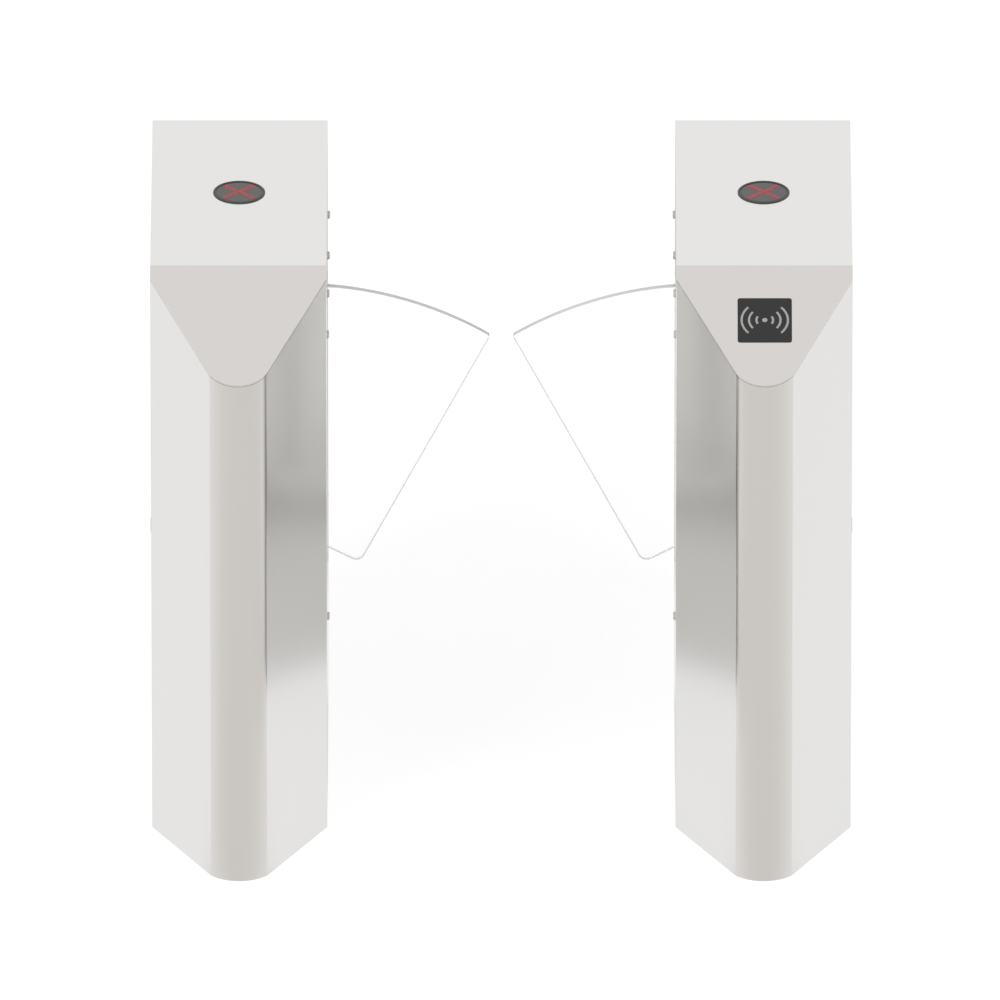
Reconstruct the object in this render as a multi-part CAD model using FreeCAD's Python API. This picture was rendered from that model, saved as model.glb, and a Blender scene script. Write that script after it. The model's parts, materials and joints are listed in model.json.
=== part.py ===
import FreeCAD, Part
import math
import os
from FreeCAD import Vector

# Lengths in millimetres, angles in degrees.
# One pedestal is drawn about its own floor centre with +X towards the lane and -Y at the front.

# Cabinet
CABINET_LENGTH = 990.0
CABINET_WIDTH = 280.0
CABINET_HEIGHT = 980.0
NOSE_TOP_HEIGHT = 874.0
LANE_WIDTH = 556.0
LID_LENGTH = 545.0
TAPER_LENGTH = 177.0
NOSE_WIDTH = 90.0
NOSE_BULGE = 21.0
NOSE_BEND = 12.0
SHOULDER_BEND = 5.0
SHEET = 1.5
COVER_SHEET = 2.0
SKIRT_DEPTH = 22.0
END_WRAP = 16.0
JOINT_STRIP = 18.0

# Base
BASE_PLATE = 6.0
RIM_WALL = 3.0
RIM_TOP = 40.0
ANCHOR_SPAN_X = 160.0
ANCHOR_SPAN_Y = 440.0
ANCHOR_RADIUS = 7.0
CONDUIT_RADIUS = 30.0
CONDUIT_Y = -170.0

# Wing
SWING_ANGLE = 27.5
PIVOT_INSET = 50.0
PIVOT_HEIGHT = 237.0
WING_RADIUS = 582.0
WING_WIDTH = 272.0
WING_FOOT = 128.0
WING_THICKNESS = 12.0
WING_SETBACK = 2.0
WING_CORNER = 14.0
WING_TIP_CORNER = 5.0
WING_EDGE_ROUND = 1.2
SLOT_WIDTH = 24.0
SLOT_MARGIN = 16.0
TRIM_LAP = 5.0
TRIM_LIP = 3.0
TRIM_SHEET = 1.0

# Wing drive
SHAFT_RADIUS = 12.5
HUB_RADIUS = 30.0
HUB_LENGTH = 48.0
CLAMP_PLATE = 6.0
CLAMP_LAP = 76.0
CLAMP_INSET = 8.0
BOLT_RADIUS = 4.0
BOLT_HEAD_RADIUS = 6.5
BOLT_HEAD = 8.0
FRAME_GAP = 120.0
FRAME_PLATE = 8.0
FRAME_LEFT = -92.0
FRAME_RIGHT = 126.0
FRAME_RISE = 66.0
BEARING_SIZE = 84.0
BEARING_FLANGE = 12.0
BEARING_LENGTH = 26.0
BEARING_BOSS = 26.0
SPIGOT_RADIUS = 19.5
GEAR_MODULE = 3.0
SECTOR_TEETH = 48
PINION_TEETH = 18
GEAR_FACE = 12.0
GEAR_START = 34.0
PRESSURE_ANGLE = 20.0
ADDENDUM = 0.95
DEDENDUM = 1.25
SPARE_TEETH = 2
FLANK_STEPS = 5
PINION_SHAFT_RADIUS = 8.0
PINION_SHAFT_REACH = 45.0
MOTOR_PILOT = 16.0
MOTOR_FLANGE_RADIUS = 38.0
MOTOR_FLANGE = 8.0
GEARBOX_RADIUS = 31.0
GEARBOX_LENGTH = 70.0
MOTOR_RADIUS = 28.0
MOTOR_LENGTH = 88.0
MOTOR_CAP_RADIUS = 22.0
MOTOR_CAP = 14.0
BUFFER_RADIUS = 10.0
BUFFER_LENGTH = 24.0
BUFFER_THROW = 52.0

# Access door and its lock, on the outer side
DOOR_STILE = 66.0
DOOR_HEADROOM = 135.0
DOOR_LOW = 120.0
DOOR_GAP = 2.5
DOOR_FLANGE = 15.0
DOOR_PIVOT_DEPTH = 9.0
DOOR_PIVOT_INSET = 20.0
DOOR_PIN_RADIUS = 3.0
BRACKET_WIDTH = 26.0
BRACKET_SHEET = 3.0
BRACKET_LEG = 34.0
LOCK_INSET = 28.0
LOCK_BARREL_RADIUS = 9.5
LOCK_FLANGE_RADIUS = 12.0
LOCK_FLANGE = 1.5
LOCK_PLUG_RADIUS = 7.0
LOCK_NUT = 5.0
CAM_DEPTH = 22.0
CAM_SHEET = 3.0
CAM_REACH = 46.0
CAM_WIDTH = 16.0
KEEPER_LAP = 10.0

# Sensors, indicator and reader
SENSOR_HEIGHT = 836.0
SENSOR_NEAR = 71.0
SENSOR_INSET = 57.0
SENSOR_LOW_HEIGHT = 339.0
SENSOR_FLANGE_RADIUS = 6.5
SENSOR_PROUD = 4.0
SENSOR_BARREL_RADIUS = 5.0
SENSOR_EYE_RADIUS = 3.6
SENSOR_DEPTH = 36.0
BEZEL_RADIUS = 41.5
BEZEL_RISE = 2.0
LENS_RADIUS = 37.0
LENS_THICKNESS = 6.0
LENS_PROUD = 1.0
NECK_WALL = 1.8
CROSS_REACH = 35.0
CROSS_WIDTH = 9.0
CROSS_DEPTH = 1.6
LAMP_RADIUS = 47.0
LAMP_DEPTH = 28.0
LAMP_WALL = 2.5
READER_WIDTH = 86.0
READER_LENGTH = 90.0
READER_SETBACK = 113.0
READER_CORNER = 4.0
READER_RISE = 0.8
READER_LIP = 7.0
READER_DEPTH = 24.0

# Electrical equipment
EQUIPMENT_WIDTH = 150.0
EQUIPMENT_LOW = 385.0
EQUIPMENT_HEIGHT = 410.0
EQUIPMENT_INSET = 26.0
EQUIPMENT_SHEET = 2.0
STANDOFF_LENGTH = 26.0
STANDOFF_RADIUS = 5.0
BOARD_THICKNESS = 1.6
BOARD_SPACER = 8.0
BOARD_MARGIN = 6.0
SUPPLY_DEPTH = 44.0
SUPPLY_HEIGHT = 170.0
SUPPLY_WIDTH = 98.0
SUPPLY_TERMINALS = 7
BOARD_PLUGS = 6

# Clearances
RUN_CLEARANCE = 0.05
FIT_CLEARANCE = 0.15
BACKLASH = 0.12
STOP_GAP = 0.3
SEAM = 0.6

HALF_WIDTH = CABINET_WIDTH / 2
INNER_FACE = HALF_WIDTH - SHEET
NOSE_TIP = CABINET_LENGTH / 2
NOSE_ROOT = NOSE_TIP - NOSE_BULGE
SHOULDER = NOSE_ROOT - TAPER_LENGTH
PANEL_END = SHOULDER - END_WRAP
FOLD = LID_LENGTH / 2
SLOPE = math.atan2(CABINET_HEIGHT - NOSE_TOP_HEIGHT, NOSE_TIP - FOLD)
PEDESTAL_OFFSET = LANE_WIDTH / 2 + HALF_WIDTH
PIVOT = Vector(HALF_WIDTH - PIVOT_INSET, 0, PIVOT_HEIGHT)
LEADING_EDGE = PIVOT_INSET - WING_SETBACK
TRAILING_EDGE = LEADING_EDGE - WING_WIDTH
SLOT_LOW = PIVOT_HEIGHT + WING_FOOT * math.cos(math.radians(SWING_ANGLE)) - SLOT_MARGIN
SLOT_HIGH = PIVOT_HEIGHT + WING_RADIUS + SLOT_MARGIN
FRAME_INNER = FRAME_GAP / 2
FRAME_OUTER = FRAME_INNER + FRAME_PLATE
SECTOR_PITCH = GEAR_MODULE * SECTOR_TEETH / 2
PINION_PITCH = GEAR_MODULE * PINION_TEETH / 2
PINION = Vector(PIVOT.x - SECTOR_PITCH - PINION_PITCH, 0, PIVOT.z)
DOOR_HALF = PANEL_END - DOOR_STILE
DOOR_HIGH = CABINET_HEIGHT - DOOR_HEADROOM
DOOR_PIN_X = DOOR_PIVOT_DEPTH - HALF_WIDTH
DOOR_PIN_Y = DOOR_HALF - DOOR_PIVOT_INSET
LOCK_Y = LOCK_INSET - DOOR_HALF
LOCK_Z = (DOOR_LOW + DOOR_HIGH) / 2
CAM_FACE = CAM_DEPTH - HALF_WIDTH
SENSOR_FAR = PANEL_END - SENSOR_INSET
LENS_SEAT = CABINET_HEIGHT + LENS_PROUD - LENS_THICKNESS
EQUIPMENT_FACE = INNER_FACE - STANDOFF_LENGTH - EQUIPMENT_SHEET
EQUIPMENT_START = EQUIPMENT_INSET - PANEL_END


def box(x0, x1, y0, y1, z0, z1):
    return Part.makeBox(x1 - x0, y1 - y0, z1 - z0, Vector(x0, y0, z0))


def rod_x(radius, x0, x1, y, z):
    return Part.makeCylinder(radius, x1 - x0, Vector(x0, y, z), Vector(1, 0, 0))


def rod_y(radius, centre, y0, y1):
    return Part.makeCylinder(radius, y1 - y0, Vector(centre.x, y0, centre.z), Vector(0, 1, 0))


def rod_z(radius, x, y, z0, z1):
    return Part.makeCylinder(radius, z1 - z0, Vector(x, y, z0))


def slab_y(points, y0, y1, radius=0.0):
    """Plate in the XZ plane through the points, its corners rounded to the radius."""
    spots = [Vector(x, y0, z) for x, z in points]
    corners = []
    for index, corner in enumerate(spots):
        before = spots[index - 1]
        after = spots[(index + 1) % len(spots)]
        back = (before - corner).normalize()
        ahead = (after - corner).normalize()
        half = back.getAngle(ahead) / 2
        reach = radius / math.tan(half)
        middle = corner + (back + ahead).normalize() * (radius / math.sin(half) - radius)
        corners.append((corner + back * reach, middle, corner + ahead * reach))
    edges = []
    for index, (enter, middle, leave) in enumerate(corners):
        if radius:
            edges.append(Part.Arc(enter, middle, leave).toShape())
        edges.append(Part.makeLine(leave, corners[(index + 1) % len(corners)][0]))
    return Part.Face(Part.Wire(edges)).extrude(Vector(0, y1 - y0, 0))


def join(first, *others):
    return first.multiFuse(list(others)).removeSplitter()


def about_pivot(points):
    return [(PIVOT.x + x, PIVOT.z + z) for x, z in points]


def closed(shape):
    """Turn a wing piece from upright inside the cabinet to its place across the lane."""
    turned = shape.copy()
    turned.rotate(PIVOT, Vector(0, 1, 0), SWING_ANGLE)
    return turned


def upright_edges(solid, nose):
    bend_line = (SHOULDER + NOSE_ROOT) / 2
    found = []
    for edge in solid.Edges:
        bounds = edge.BoundBox
        if bounds.XLength + bounds.YLength < SHEET / 10 and (abs(bounds.Center.y) > bend_line) == nose:
            found.append(edge)
    return found


def plan_prism(inset, low, high):
    """Upright solid on the cabinet's plan, drawn in by the inset, with its bends rounded."""
    half_nose = NOSE_WIDTH / 2
    edges = []
    for side in (-1, 1):
        start = Vector(side * half_nose, side * NOSE_ROOT, 0)
        end = Vector(-side * half_nose, side * NOSE_ROOT, 0)
        edges.append(Part.Arc(start, Vector(0, side * NOSE_TIP, 0), end).toShape())
        shoulder = Vector(-side * HALF_WIDTH, side * SHOULDER, 0)
        far_shoulder = Vector(-side * HALF_WIDTH, -side * SHOULDER, 0)
        edges.append(Part.makeLine(end, shoulder))
        edges.append(Part.makeLine(shoulder, far_shoulder))
        edges.append(Part.makeLine(far_shoulder, Vector(-side * half_nose, -side * NOSE_ROOT, 0)))
    outline = Part.Wire(edges)
    if inset:
        outline = outline.makeOffset2D(-inset)
    solid = Part.Face(outline).extrude(Vector(0, 0, high - low))
    solid.translate(Vector(0, 0, low))
    solid = solid.makeFillet(NOSE_BEND - inset, upright_edges(solid, True))
    return solid.makeFillet(max(SHOULDER_BEND - inset, SHEET / 2), upright_edges(solid, False))


def roof_height(y, drop):
    """Height under the roof, lowered by the drop square to its surface."""
    fold = FOLD - drop * math.tan(SLOPE / 2)
    return CABINET_HEIGHT - drop - max(abs(y) - fold, 0) * math.tan(SLOPE)


def roof_prism(drop):
    """Everything under the lid and the two slopes, lowered by the drop."""
    far = NOSE_TIP + COVER_SHEET
    fold = FOLD - drop * math.tan(SLOPE / 2)
    stations = [-far, -fold, fold, far]
    points = [Vector(-CABINET_WIDTH, y, roof_height(y, drop)) for y in stations]
    points += [Vector(-CABINET_WIDTH, far, 0), Vector(-CABINET_WIDTH, -far, 0)]
    return Part.Face(Part.makePolygon(points + points[:1])).extrude(Vector(2 * CABINET_WIDTH, 0, 0))


def body_walls():
    outer = plan_prism(0, 0, CABINET_HEIGHT)
    walls = outer.cut(plan_prism(SHEET, 0, CABINET_HEIGHT))
    return walls.common(roof_prism(COVER_SHEET + SEAM))


def end_shell(walls):
    shell = walls.common(box(-CABINET_WIDTH, CABINET_WIDTH, -CABINET_LENGTH, -PANEL_END, 0, CABINET_HEIGHT))
    strip_top = roof_height(SHOULDER, COVER_SHEET + SKIRT_DEPTH) - SEAM
    y0 = -PANEL_END - END_WRAP / 2
    y1 = JOINT_STRIP - PANEL_END
    strips = []
    for x0 in (INNER_FACE - SHEET, -INNER_FACE):
        strips.append(box(x0, x0 + SHEET, y0, y1, RIM_TOP + SEAM, strip_top))
    return join(shell, *strips)


def side_panel(walls, x0, x1):
    reach = PANEL_END - SEAM
    return walls.common(box(x0, x1, -reach, reach, 0, CABINET_HEIGHT))


def slot_prism(grow, x0, x1):
    """Round-ended wing slot, made wider all round by the growth."""
    half = SLOT_WIDTH / 2
    low = SLOT_LOW + half
    high = SLOT_HIGH - half
    ends = [rod_x(half + grow, x0, x1, 0, z) for z in (low, high)]
    return join(box(x0, x1, -half - grow, half + grow, low, high), *ends)


def sensor_places():
    places = [(y, SENSOR_HEIGHT) for y in (-SENSOR_FAR, -SENSOR_NEAR, SENSOR_NEAR, SENSOR_FAR)]
    places.append((-SENSOR_FAR, SENSOR_LOW_HEIGHT))
    return places


def lane_panel(walls):
    panel = side_panel(walls, 0, CABINET_WIDTH)
    holes = [rod_x(SENSOR_BARREL_RADIUS + FIT_CLEARANCE, 0, CABINET_WIDTH, y, z) for y, z in sensor_places()]
    return panel.cut([slot_prism(0, 0, CABINET_WIDTH)] + holes)


def slot_trim():
    low = INNER_FACE - TRIM_SHEET
    high = HALF_WIDTH + TRIM_SHEET
    ring = slot_prism(TRIM_LAP, low, high).cut(slot_prism(-TRIM_LIP, low, high))
    groove = slot_prism(TRIM_LAP, INNER_FACE, HALF_WIDTH).cut(slot_prism(0, INNER_FACE, HALF_WIDTH))
    return ring.cut(groove)


def outer_panel(walls):
    half = DOOR_HALF + DOOR_GAP
    opening = box(-CABINET_WIDTH, 0, -half, half, DOOR_LOW - DOOR_GAP, DOOR_HIGH + DOOR_GAP)
    return side_panel(walls, -CABINET_WIDTH, 0).cut(opening)


def base_plate():
    plate = plan_prism(SHEET, 0, BASE_PLATE)
    holes = [rod_z(CONDUIT_RADIUS, 0, CONDUIT_Y, 0, BASE_PLATE)]
    for x in (-ANCHOR_SPAN_X / 2, ANCHOR_SPAN_X / 2):
        for y in (-ANCHOR_SPAN_Y / 2, ANCHOR_SPAN_Y / 2):
            holes.append(rod_z(ANCHOR_RADIUS, x, y, 0, BASE_PLATE))
    return plate.cut(holes)


def base_rim():
    """Upright strip on the base plate that the panels stand against."""
    inside = plan_prism(SHEET + RIM_WALL, BASE_PLATE, CABINET_HEIGHT)
    return plan_prism(SHEET, BASE_PLATE, RIM_TOP).cut(inside)


def on_slope(shape):
    """Tilt a piece drawn level past the lid's front fold onto the front slope."""
    tilted = shape.copy()
    tilted.rotate(Vector(0, -FOLD, CABINET_HEIGHT), Vector(1, 0, 0), math.degrees(SLOPE))
    return tilted


def reader_block(grow, low, high):
    """Round-cornered block over the reader's place, between heights about the cover's surface."""
    half_x = READER_WIDTH / 2 + grow
    half_y = READER_LENGTH / 2 + grow
    centre = -FOLD - READER_SETBACK
    block = box(-half_x, half_x, centre - half_y, centre + half_y,
                CABINET_HEIGHT + low, CABINET_HEIGHT + high)
    corners = [edge for edge in block.Edges if edge.BoundBox.ZLength > (high - low) / 2]
    return on_slope(block.makeFillet(READER_CORNER + grow, corners))


def top_cover(has_reader):
    plate = plan_prism(0, 0, CABINET_HEIGHT).common(roof_prism(0).cut(roof_prism(COVER_SHEET)))
    ring = plan_prism(SHEET + FIT_CLEARANCE, 0, CABINET_HEIGHT)
    ring = ring.cut(plan_prism(2 * SHEET + FIT_CLEARANCE, 0, CABINET_HEIGHT))
    skirt = ring.common(roof_prism(COVER_SHEET).cut(roof_prism(COVER_SHEET + SKIRT_DEPTH)))
    cover = join(plate, skirt)
    neck = LENS_RADIUS + FIT_CLEARANCE + NECK_WALL
    cover = cover.cut(rod_z(neck + FIT_CLEARANCE, 0, 0, 0, 2 * CABINET_HEIGHT))
    if has_reader:
        cover = cover.cut(reader_block(FIT_CLEARANCE, -2 * COVER_SHEET, COVER_SHEET))
    return cover


def reader_window():
    return reader_block(0, -COVER_SHEET, READER_RISE)


def reader_module():
    lip = reader_block(READER_LIP, -2 * COVER_SHEET, -COVER_SHEET)
    body = reader_block(-READER_LIP / 2, -COVER_SHEET - READER_DEPTH, -2 * COVER_SHEET)
    return join(lip, body)


def indicator_bezel():
    bore = LENS_RADIUS + FIT_CLEARANCE
    flange = rod_z(BEZEL_RADIUS, 0, 0, CABINET_HEIGHT, CABINET_HEIGHT + BEZEL_RISE)
    rim = [edge for edge in flange.Edges if edge.BoundBox.ZMin > CABINET_HEIGHT + BEZEL_RISE / 2]
    flange = flange.makeChamfer(BEZEL_RISE / 2, rim)
    neck = rod_z(bore + NECK_WALL, 0, 0, LENS_SEAT, CABINET_HEIGHT)
    return join(flange, neck).cut(rod_z(bore, 0, 0, LENS_SEAT, CABINET_HEIGHT + BEZEL_RISE))


def cross_bars(grow):
    top = LENS_SEAT + LENS_THICKNESS
    reach = CROSS_REACH + grow
    half = CROSS_WIDTH / 2 + grow
    bars = []
    for angle in (45, -45):
        bar = box(-reach, reach, -half, half, top - CROSS_DEPTH, top + FIT_CLEARANCE)
        bar.rotate(Vector(0, 0, 0), Vector(0, 0, 1), angle)
        bars.append(bar)
    return join(*bars)


def indicator_lens():
    lens = rod_z(LENS_RADIUS, 0, 0, LENS_SEAT, LENS_SEAT + LENS_THICKNESS)
    return lens.cut(cross_bars(FIT_CLEARANCE))


def lamp_housing():
    top = CABINET_HEIGHT - COVER_SHEET
    floor = top - LAMP_DEPTH
    neck = LENS_RADIUS + NECK_WALL + 2 * FIT_CLEARANCE
    well = rod_z(LENS_RADIUS - LAMP_WALL, 0, 0, floor + LAMP_WALL, top)
    body = rod_z(LENS_RADIUS + LAMP_WALL, 0, 0, floor, LENS_SEAT)
    flange = rod_z(LAMP_RADIUS, 0, 0, LENS_SEAT - LAMP_WALL, top)
    return join(body, flange).cut([well, rod_z(neck, 0, 0, LENS_SEAT, top)])


def sensor_bezel(y, z):
    flange = rod_x(SENSOR_FLANGE_RADIUS, HALF_WIDTH, HALF_WIDTH + SENSOR_PROUD, y, z)
    rim = [edge for edge in flange.Edges if edge.BoundBox.XMin > HALF_WIDTH + SENSOR_PROUD / 2]
    flange = flange.makeFillet(SENSOR_PROUD / 2, rim)
    barrel = rod_x(SENSOR_BARREL_RADIUS, INNER_FACE - SENSOR_PROUD, HALF_WIDTH, y, z)
    nut = rod_x(SENSOR_FLANGE_RADIUS, INNER_FACE - SENSOR_PROUD, INNER_FACE, y, z)
    bore = rod_x(SENSOR_EYE_RADIUS + FIT_CLEARANCE, 0, CABINET_WIDTH, y, z)
    return join(flange, barrel, nut).cut(bore)


def sensor_eye(y, z):
    front = HALF_WIDTH + SENSOR_PROUD - SEAM
    return rod_x(SENSOR_EYE_RADIUS, INNER_FACE - SENSOR_DEPTH, front, y, z)


def wing_bolt_places():
    """Bolt centres in the upright wing, then in the web below its foot."""
    left = TRAILING_EDGE + WING_CORNER + CLAMP_LAP / 2
    columns = [left, left + CLAMP_LAP / 2, left + CLAMP_LAP]
    rows = [WING_FOOT + CLAMP_LAP / 4, WING_FOOT + 3 * CLAMP_LAP / 4]
    places = [(x, z) for x in columns for z in rows]
    places += [(-HUB_RADIUS, WING_FOOT * 3 / 4), (-3 * HUB_RADIUS, WING_FOOT * 3 / 4)]
    return about_pivot(places)


def bolt_holes():
    radius = BOLT_RADIUS + FIT_CLEARANCE
    return [rod_y(radius, Vector(x, 0, z), -FRAME_INNER, FRAME_INNER) for x, z in wing_bolt_places()]


def wing_panel():
    half = WING_THICKNESS / 2
    low = PIVOT.z + WING_FOOT
    blank = box(PIVOT.x + TRAILING_EDGE, PIVOT.x + LEADING_EDGE, -half, half, low, PIVOT.z + 2 * WING_RADIUS)
    blank = blank.common(rod_y(WING_RADIUS, PIVOT, -half, half))
    corners = [edge for edge in blank.Edges if edge.BoundBox.YLength > half]
    tips = [edge for edge in corners if edge.BoundBox.ZMin > low + WING_CORNER]
    panel = blank.makeFillet(WING_TIP_CORNER, tips)
    across = [edge for edge in panel.Edges if edge.BoundBox.YLength > half]
    feet = [edge for edge in across if edge.BoundBox.ZMax < low + WING_CORNER]
    panel = panel.makeFillet(WING_CORNER, feet)
    rims = [edge for edge in panel.Edges if edge.BoundBox.YLength < half]
    return closed(panel.makeFillet(WING_EDGE_ROUND, rims).cut(bolt_holes()))


def lane_limit(z):
    """Furthest a clamp may reach lanewards at a height above the pivot and stay inside when closed."""
    turn = math.radians(SWING_ANGLE)
    room = PIVOT_INSET - SHEET - CLAMP_INSET
    return (room - z * math.sin(turn)) / math.cos(turn)


def wing_hub():
    half = WING_THICKNESS / 2
    top = WING_FOOT - STOP_GAP
    left = TRAILING_EDGE + WING_CORNER
    points = [(lane_limit(HUB_RADIUS) - CLAMP_INSET, 0), (lane_limit(HUB_RADIUS) - CLAMP_INSET, HUB_RADIUS)]
    points += [(lane_limit(top), top), (left, top), (-HUB_RADIUS, 0)]
    web = slab_y(about_pivot(points), -half, half)
    boss = rod_y(HUB_RADIUS, PIVOT, -HUB_LENGTH / 2, HUB_LENGTH / 2)
    bore = rod_y(SHAFT_RADIUS, PIVOT, -HUB_LENGTH, HUB_LENGTH)
    return closed(join(boss, web).cut([bore] + bolt_holes()))


def clamp_plate(y0):
    low = WING_FOOT / 2
    high = WING_FOOT + CLAMP_LAP
    left = TRAILING_EDGE + WING_CORNER
    points = [(lane_limit(low), low), (lane_limit(high), high), (left, high), (left, WING_FOOT)]
    points.append((-3 * HUB_RADIUS - CLAMP_INSET, low))
    plate = slab_y(about_pivot(points), y0, y0 + CLAMP_PLATE, CLAMP_INSET)
    return closed(plate.cut(bolt_holes()))


def clamp_plates():
    half = WING_THICKNESS / 2
    return Part.Compound([clamp_plate(-half - CLAMP_PLATE), clamp_plate(half)])


def clamp_bolt(x, z):
    grip = WING_THICKNESS / 2 + CLAMP_PLATE
    centre = Vector(x, 0, z)
    head = rod_y(BOLT_HEAD_RADIUS, centre, -grip - BOLT_HEAD, -grip)
    shank = rod_y(BOLT_RADIUS, centre, -grip, grip)
    nut = rod_y(BOLT_HEAD_RADIUS, centre, grip, grip + BOLT_HEAD)
    return closed(join(head, shank, nut))


def clamp_bolts():
    return Part.Compound([clamp_bolt(x, z) for x, z in wing_bolt_places()])


def wing_shaft():
    end = FRAME_OUTER + BEARING_LENGTH + BEARING_FLANGE / 2
    shaft = rod_y(SHAFT_RADIUS, PIVOT, -end, end)
    rims = [edge for edge in shaft.Edges if edge.BoundBox.YLength < SHEET]
    return shaft.makeChamfer(SHEET, rims)


def gear_tooth(centre, teeth, angle, y0, y1):
    """Involute tooth on a gear, pointing along the angle."""
    pitch = GEAR_MODULE * teeth / 2
    pressure = math.radians(PRESSURE_ANGLE)
    base = pitch * math.cos(pressure)
    root = pitch - DEDENDUM * GEAR_MODULE
    tip = pitch + ADDENDUM * GEAR_MODULE
    half_pitch = math.pi / (2 * teeth) - BACKLASH / pitch + math.tan(pressure) - pressure
    start = max(base, root)
    flank = [(root - GEAR_MODULE / 2, half_pitch)]
    for step in range(FLANK_STEPS + 1):
        radius = start + (tip - start) * step / FLANK_STEPS
        roll = math.acos(base / radius)
        flank.append((radius, half_pitch - math.tan(roll) + roll))
    heading = math.radians(angle)
    points = []
    for sign, side in ((-1, flank), (1, reversed(flank))):
        for radius, spread in side:
            turn = heading + sign * spread
            points.append((centre.x + radius * math.cos(turn), centre.z + radius * math.sin(turn)))
    return slab_y(points, y0, y1)


def sector_angles():
    """Headings of the sector's teeth when closed; 180 faces the pinion."""
    step = 360 / SECTOR_TEETH
    travel = math.ceil(SWING_ANGLE / step)
    return [180 + step * index for index in range(-travel - SPARE_TEETH, SPARE_TEETH + 1)]


def sector_edges():
    margin = 180 / SECTOR_TEETH
    angles = sector_angles()
    return angles[0] - margin, angles[-1] + margin


def pivot_point(angle, radius):
    heading = math.radians(angle)
    return PIVOT + Vector(radius * math.cos(heading), 0, radius * math.sin(heading))


def sector_gear():
    y0 = GEAR_START
    y1 = GEAR_START + GEAR_FACE
    root = SECTOR_PITCH - DEDENDUM * GEAR_MODULE
    first, last = sector_edges()
    reach = 2 * SECTOR_PITCH
    middle = (first + last) / 2
    corners = [pivot_point(first, reach), pivot_point(middle, 2 * reach), pivot_point(last, reach), PIVOT]
    wedge = slab_y([(point.x, point.z) for point in corners], y0, y1)
    blank = rod_y(root, PIVOT, y0, y1).common(wedge)
    hub = rod_y(HUB_RADIUS, PIVOT, HUB_LENGTH / 2, y1 + SHEET)
    teeth = [gear_tooth(PIVOT, SECTOR_TEETH, angle, y0, y1) for angle in sector_angles()]
    bore = rod_y(SHAFT_RADIUS, PIVOT, 0, FRAME_INNER)
    return join(hub, blank, *teeth).cut(bore)


def pinion():
    y0 = GEAR_START
    y1 = GEAR_START + GEAR_FACE
    root = PINION_PITCH - DEDENDUM * GEAR_MODULE
    step = 360 / PINION_TEETH
    angles = [step * (index + 0.5) for index in range(PINION_TEETH)]
    teeth = [gear_tooth(PINION, PINION_TEETH, angle, y0, y1) for angle in angles]
    shaft = rod_y(PINION_SHAFT_RADIUS, PINION, y0, FRAME_OUTER + PINION_SHAFT_REACH)
    return join(rod_y(root, PINION, y0, y1), shaft, *teeth)


def gear_motor():
    flange_end = FRAME_OUTER + MOTOR_FLANGE
    gearbox_end = flange_end + GEARBOX_LENGTH
    motor_end = gearbox_end + MOTOR_LENGTH
    pilot = rod_y(MOTOR_PILOT - FIT_CLEARANCE, PINION, FRAME_INNER, FRAME_OUTER)
    flange = rod_y(MOTOR_FLANGE_RADIUS, PINION, FRAME_OUTER, flange_end)
    gearbox = rod_y(GEARBOX_RADIUS, PINION, flange_end, gearbox_end)
    motor = rod_y(MOTOR_RADIUS, PINION, gearbox_end, motor_end)
    cap = rod_y(MOTOR_CAP_RADIUS, PINION, motor_end, motor_end + MOTOR_CAP)
    half = MOTOR_CAP_RADIUS / 2
    terminal = box(PINION.x - half, PINION.x + half, gearbox_end + MOTOR_CAP, motor_end - MOTOR_CAP,
                   PINION.z, PINION.z + MOTOR_RADIUS + MOTOR_CAP)
    bore = rod_y(PINION_SHAFT_RADIUS + RUN_CLEARANCE, PINION, 0, FRAME_OUTER + PINION_SHAFT_REACH + SEAM)
    return join(pilot, flange, gearbox, motor, cap, terminal).cut(bore)


def drive_frame():
    low = BASE_PLATE
    high = PIVOT.z + FRAME_RISE
    corner = FRAME_RISE / 2
    points = [(FRAME_LEFT, low), (FRAME_RIGHT, low), (FRAME_RIGHT, high), (PINION.x, high)]
    points += [(FRAME_LEFT, PINION.z + corner)]
    window_low = low + FRAME_RISE
    window_high = PIVOT.z - BEARING_SIZE
    left = FRAME_LEFT + corner
    right = FRAME_RIGHT - corner
    window = [(left, window_low), (right, window_low), (right, window_high), (left, window_high)]
    plates = []
    for y0 in (-FRAME_OUTER, FRAME_INNER):
        plate = slab_y(points, y0, y0 + FRAME_PLATE)
        plates.append(plate.cut(slab_y(window, y0, y0 + FRAME_PLATE, FRAME_PLATE)))
    foot = box(FRAME_LEFT, FRAME_RIGHT, -FRAME_OUTER - BEARING_LENGTH, FRAME_OUTER + BEARING_LENGTH,
               low, low + FRAME_PLATE)
    holes = [rod_y(SPIGOT_RADIUS + FIT_CLEARANCE, PIVOT, -CABINET_WIDTH, CABINET_WIDTH)]
    holes.append(rod_y(MOTOR_PILOT, PINION, 0, CABINET_WIDTH))
    return join(foot, *plates).cut(holes)


def bearing_unit():
    half = BEARING_SIZE / 2
    square = about_pivot([(-half, -half), (half, -half), (half, half), (-half, half)])
    square = [(min(x, FRAME_RIGHT), z) for x, z in square]
    flange = slab_y(square, FRAME_OUTER, FRAME_OUTER + BEARING_FLANGE, BEARING_FLANGE)
    boss = rod_y(BEARING_BOSS, PIVOT, FRAME_OUTER, FRAME_OUTER + BEARING_LENGTH)
    spigot = rod_y(SPIGOT_RADIUS, PIVOT, FRAME_INNER, FRAME_OUTER)
    bore = rod_y(SHAFT_RADIUS + RUN_CLEARANCE, PIVOT, 0, CABINET_WIDTH)
    return join(flange, boss, spigot).cut(bore)


def bearing_units():
    rear = bearing_unit()
    return [rear, rear.mirror(Vector(0, 0, 0), Vector(0, 1, 0))]


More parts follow.
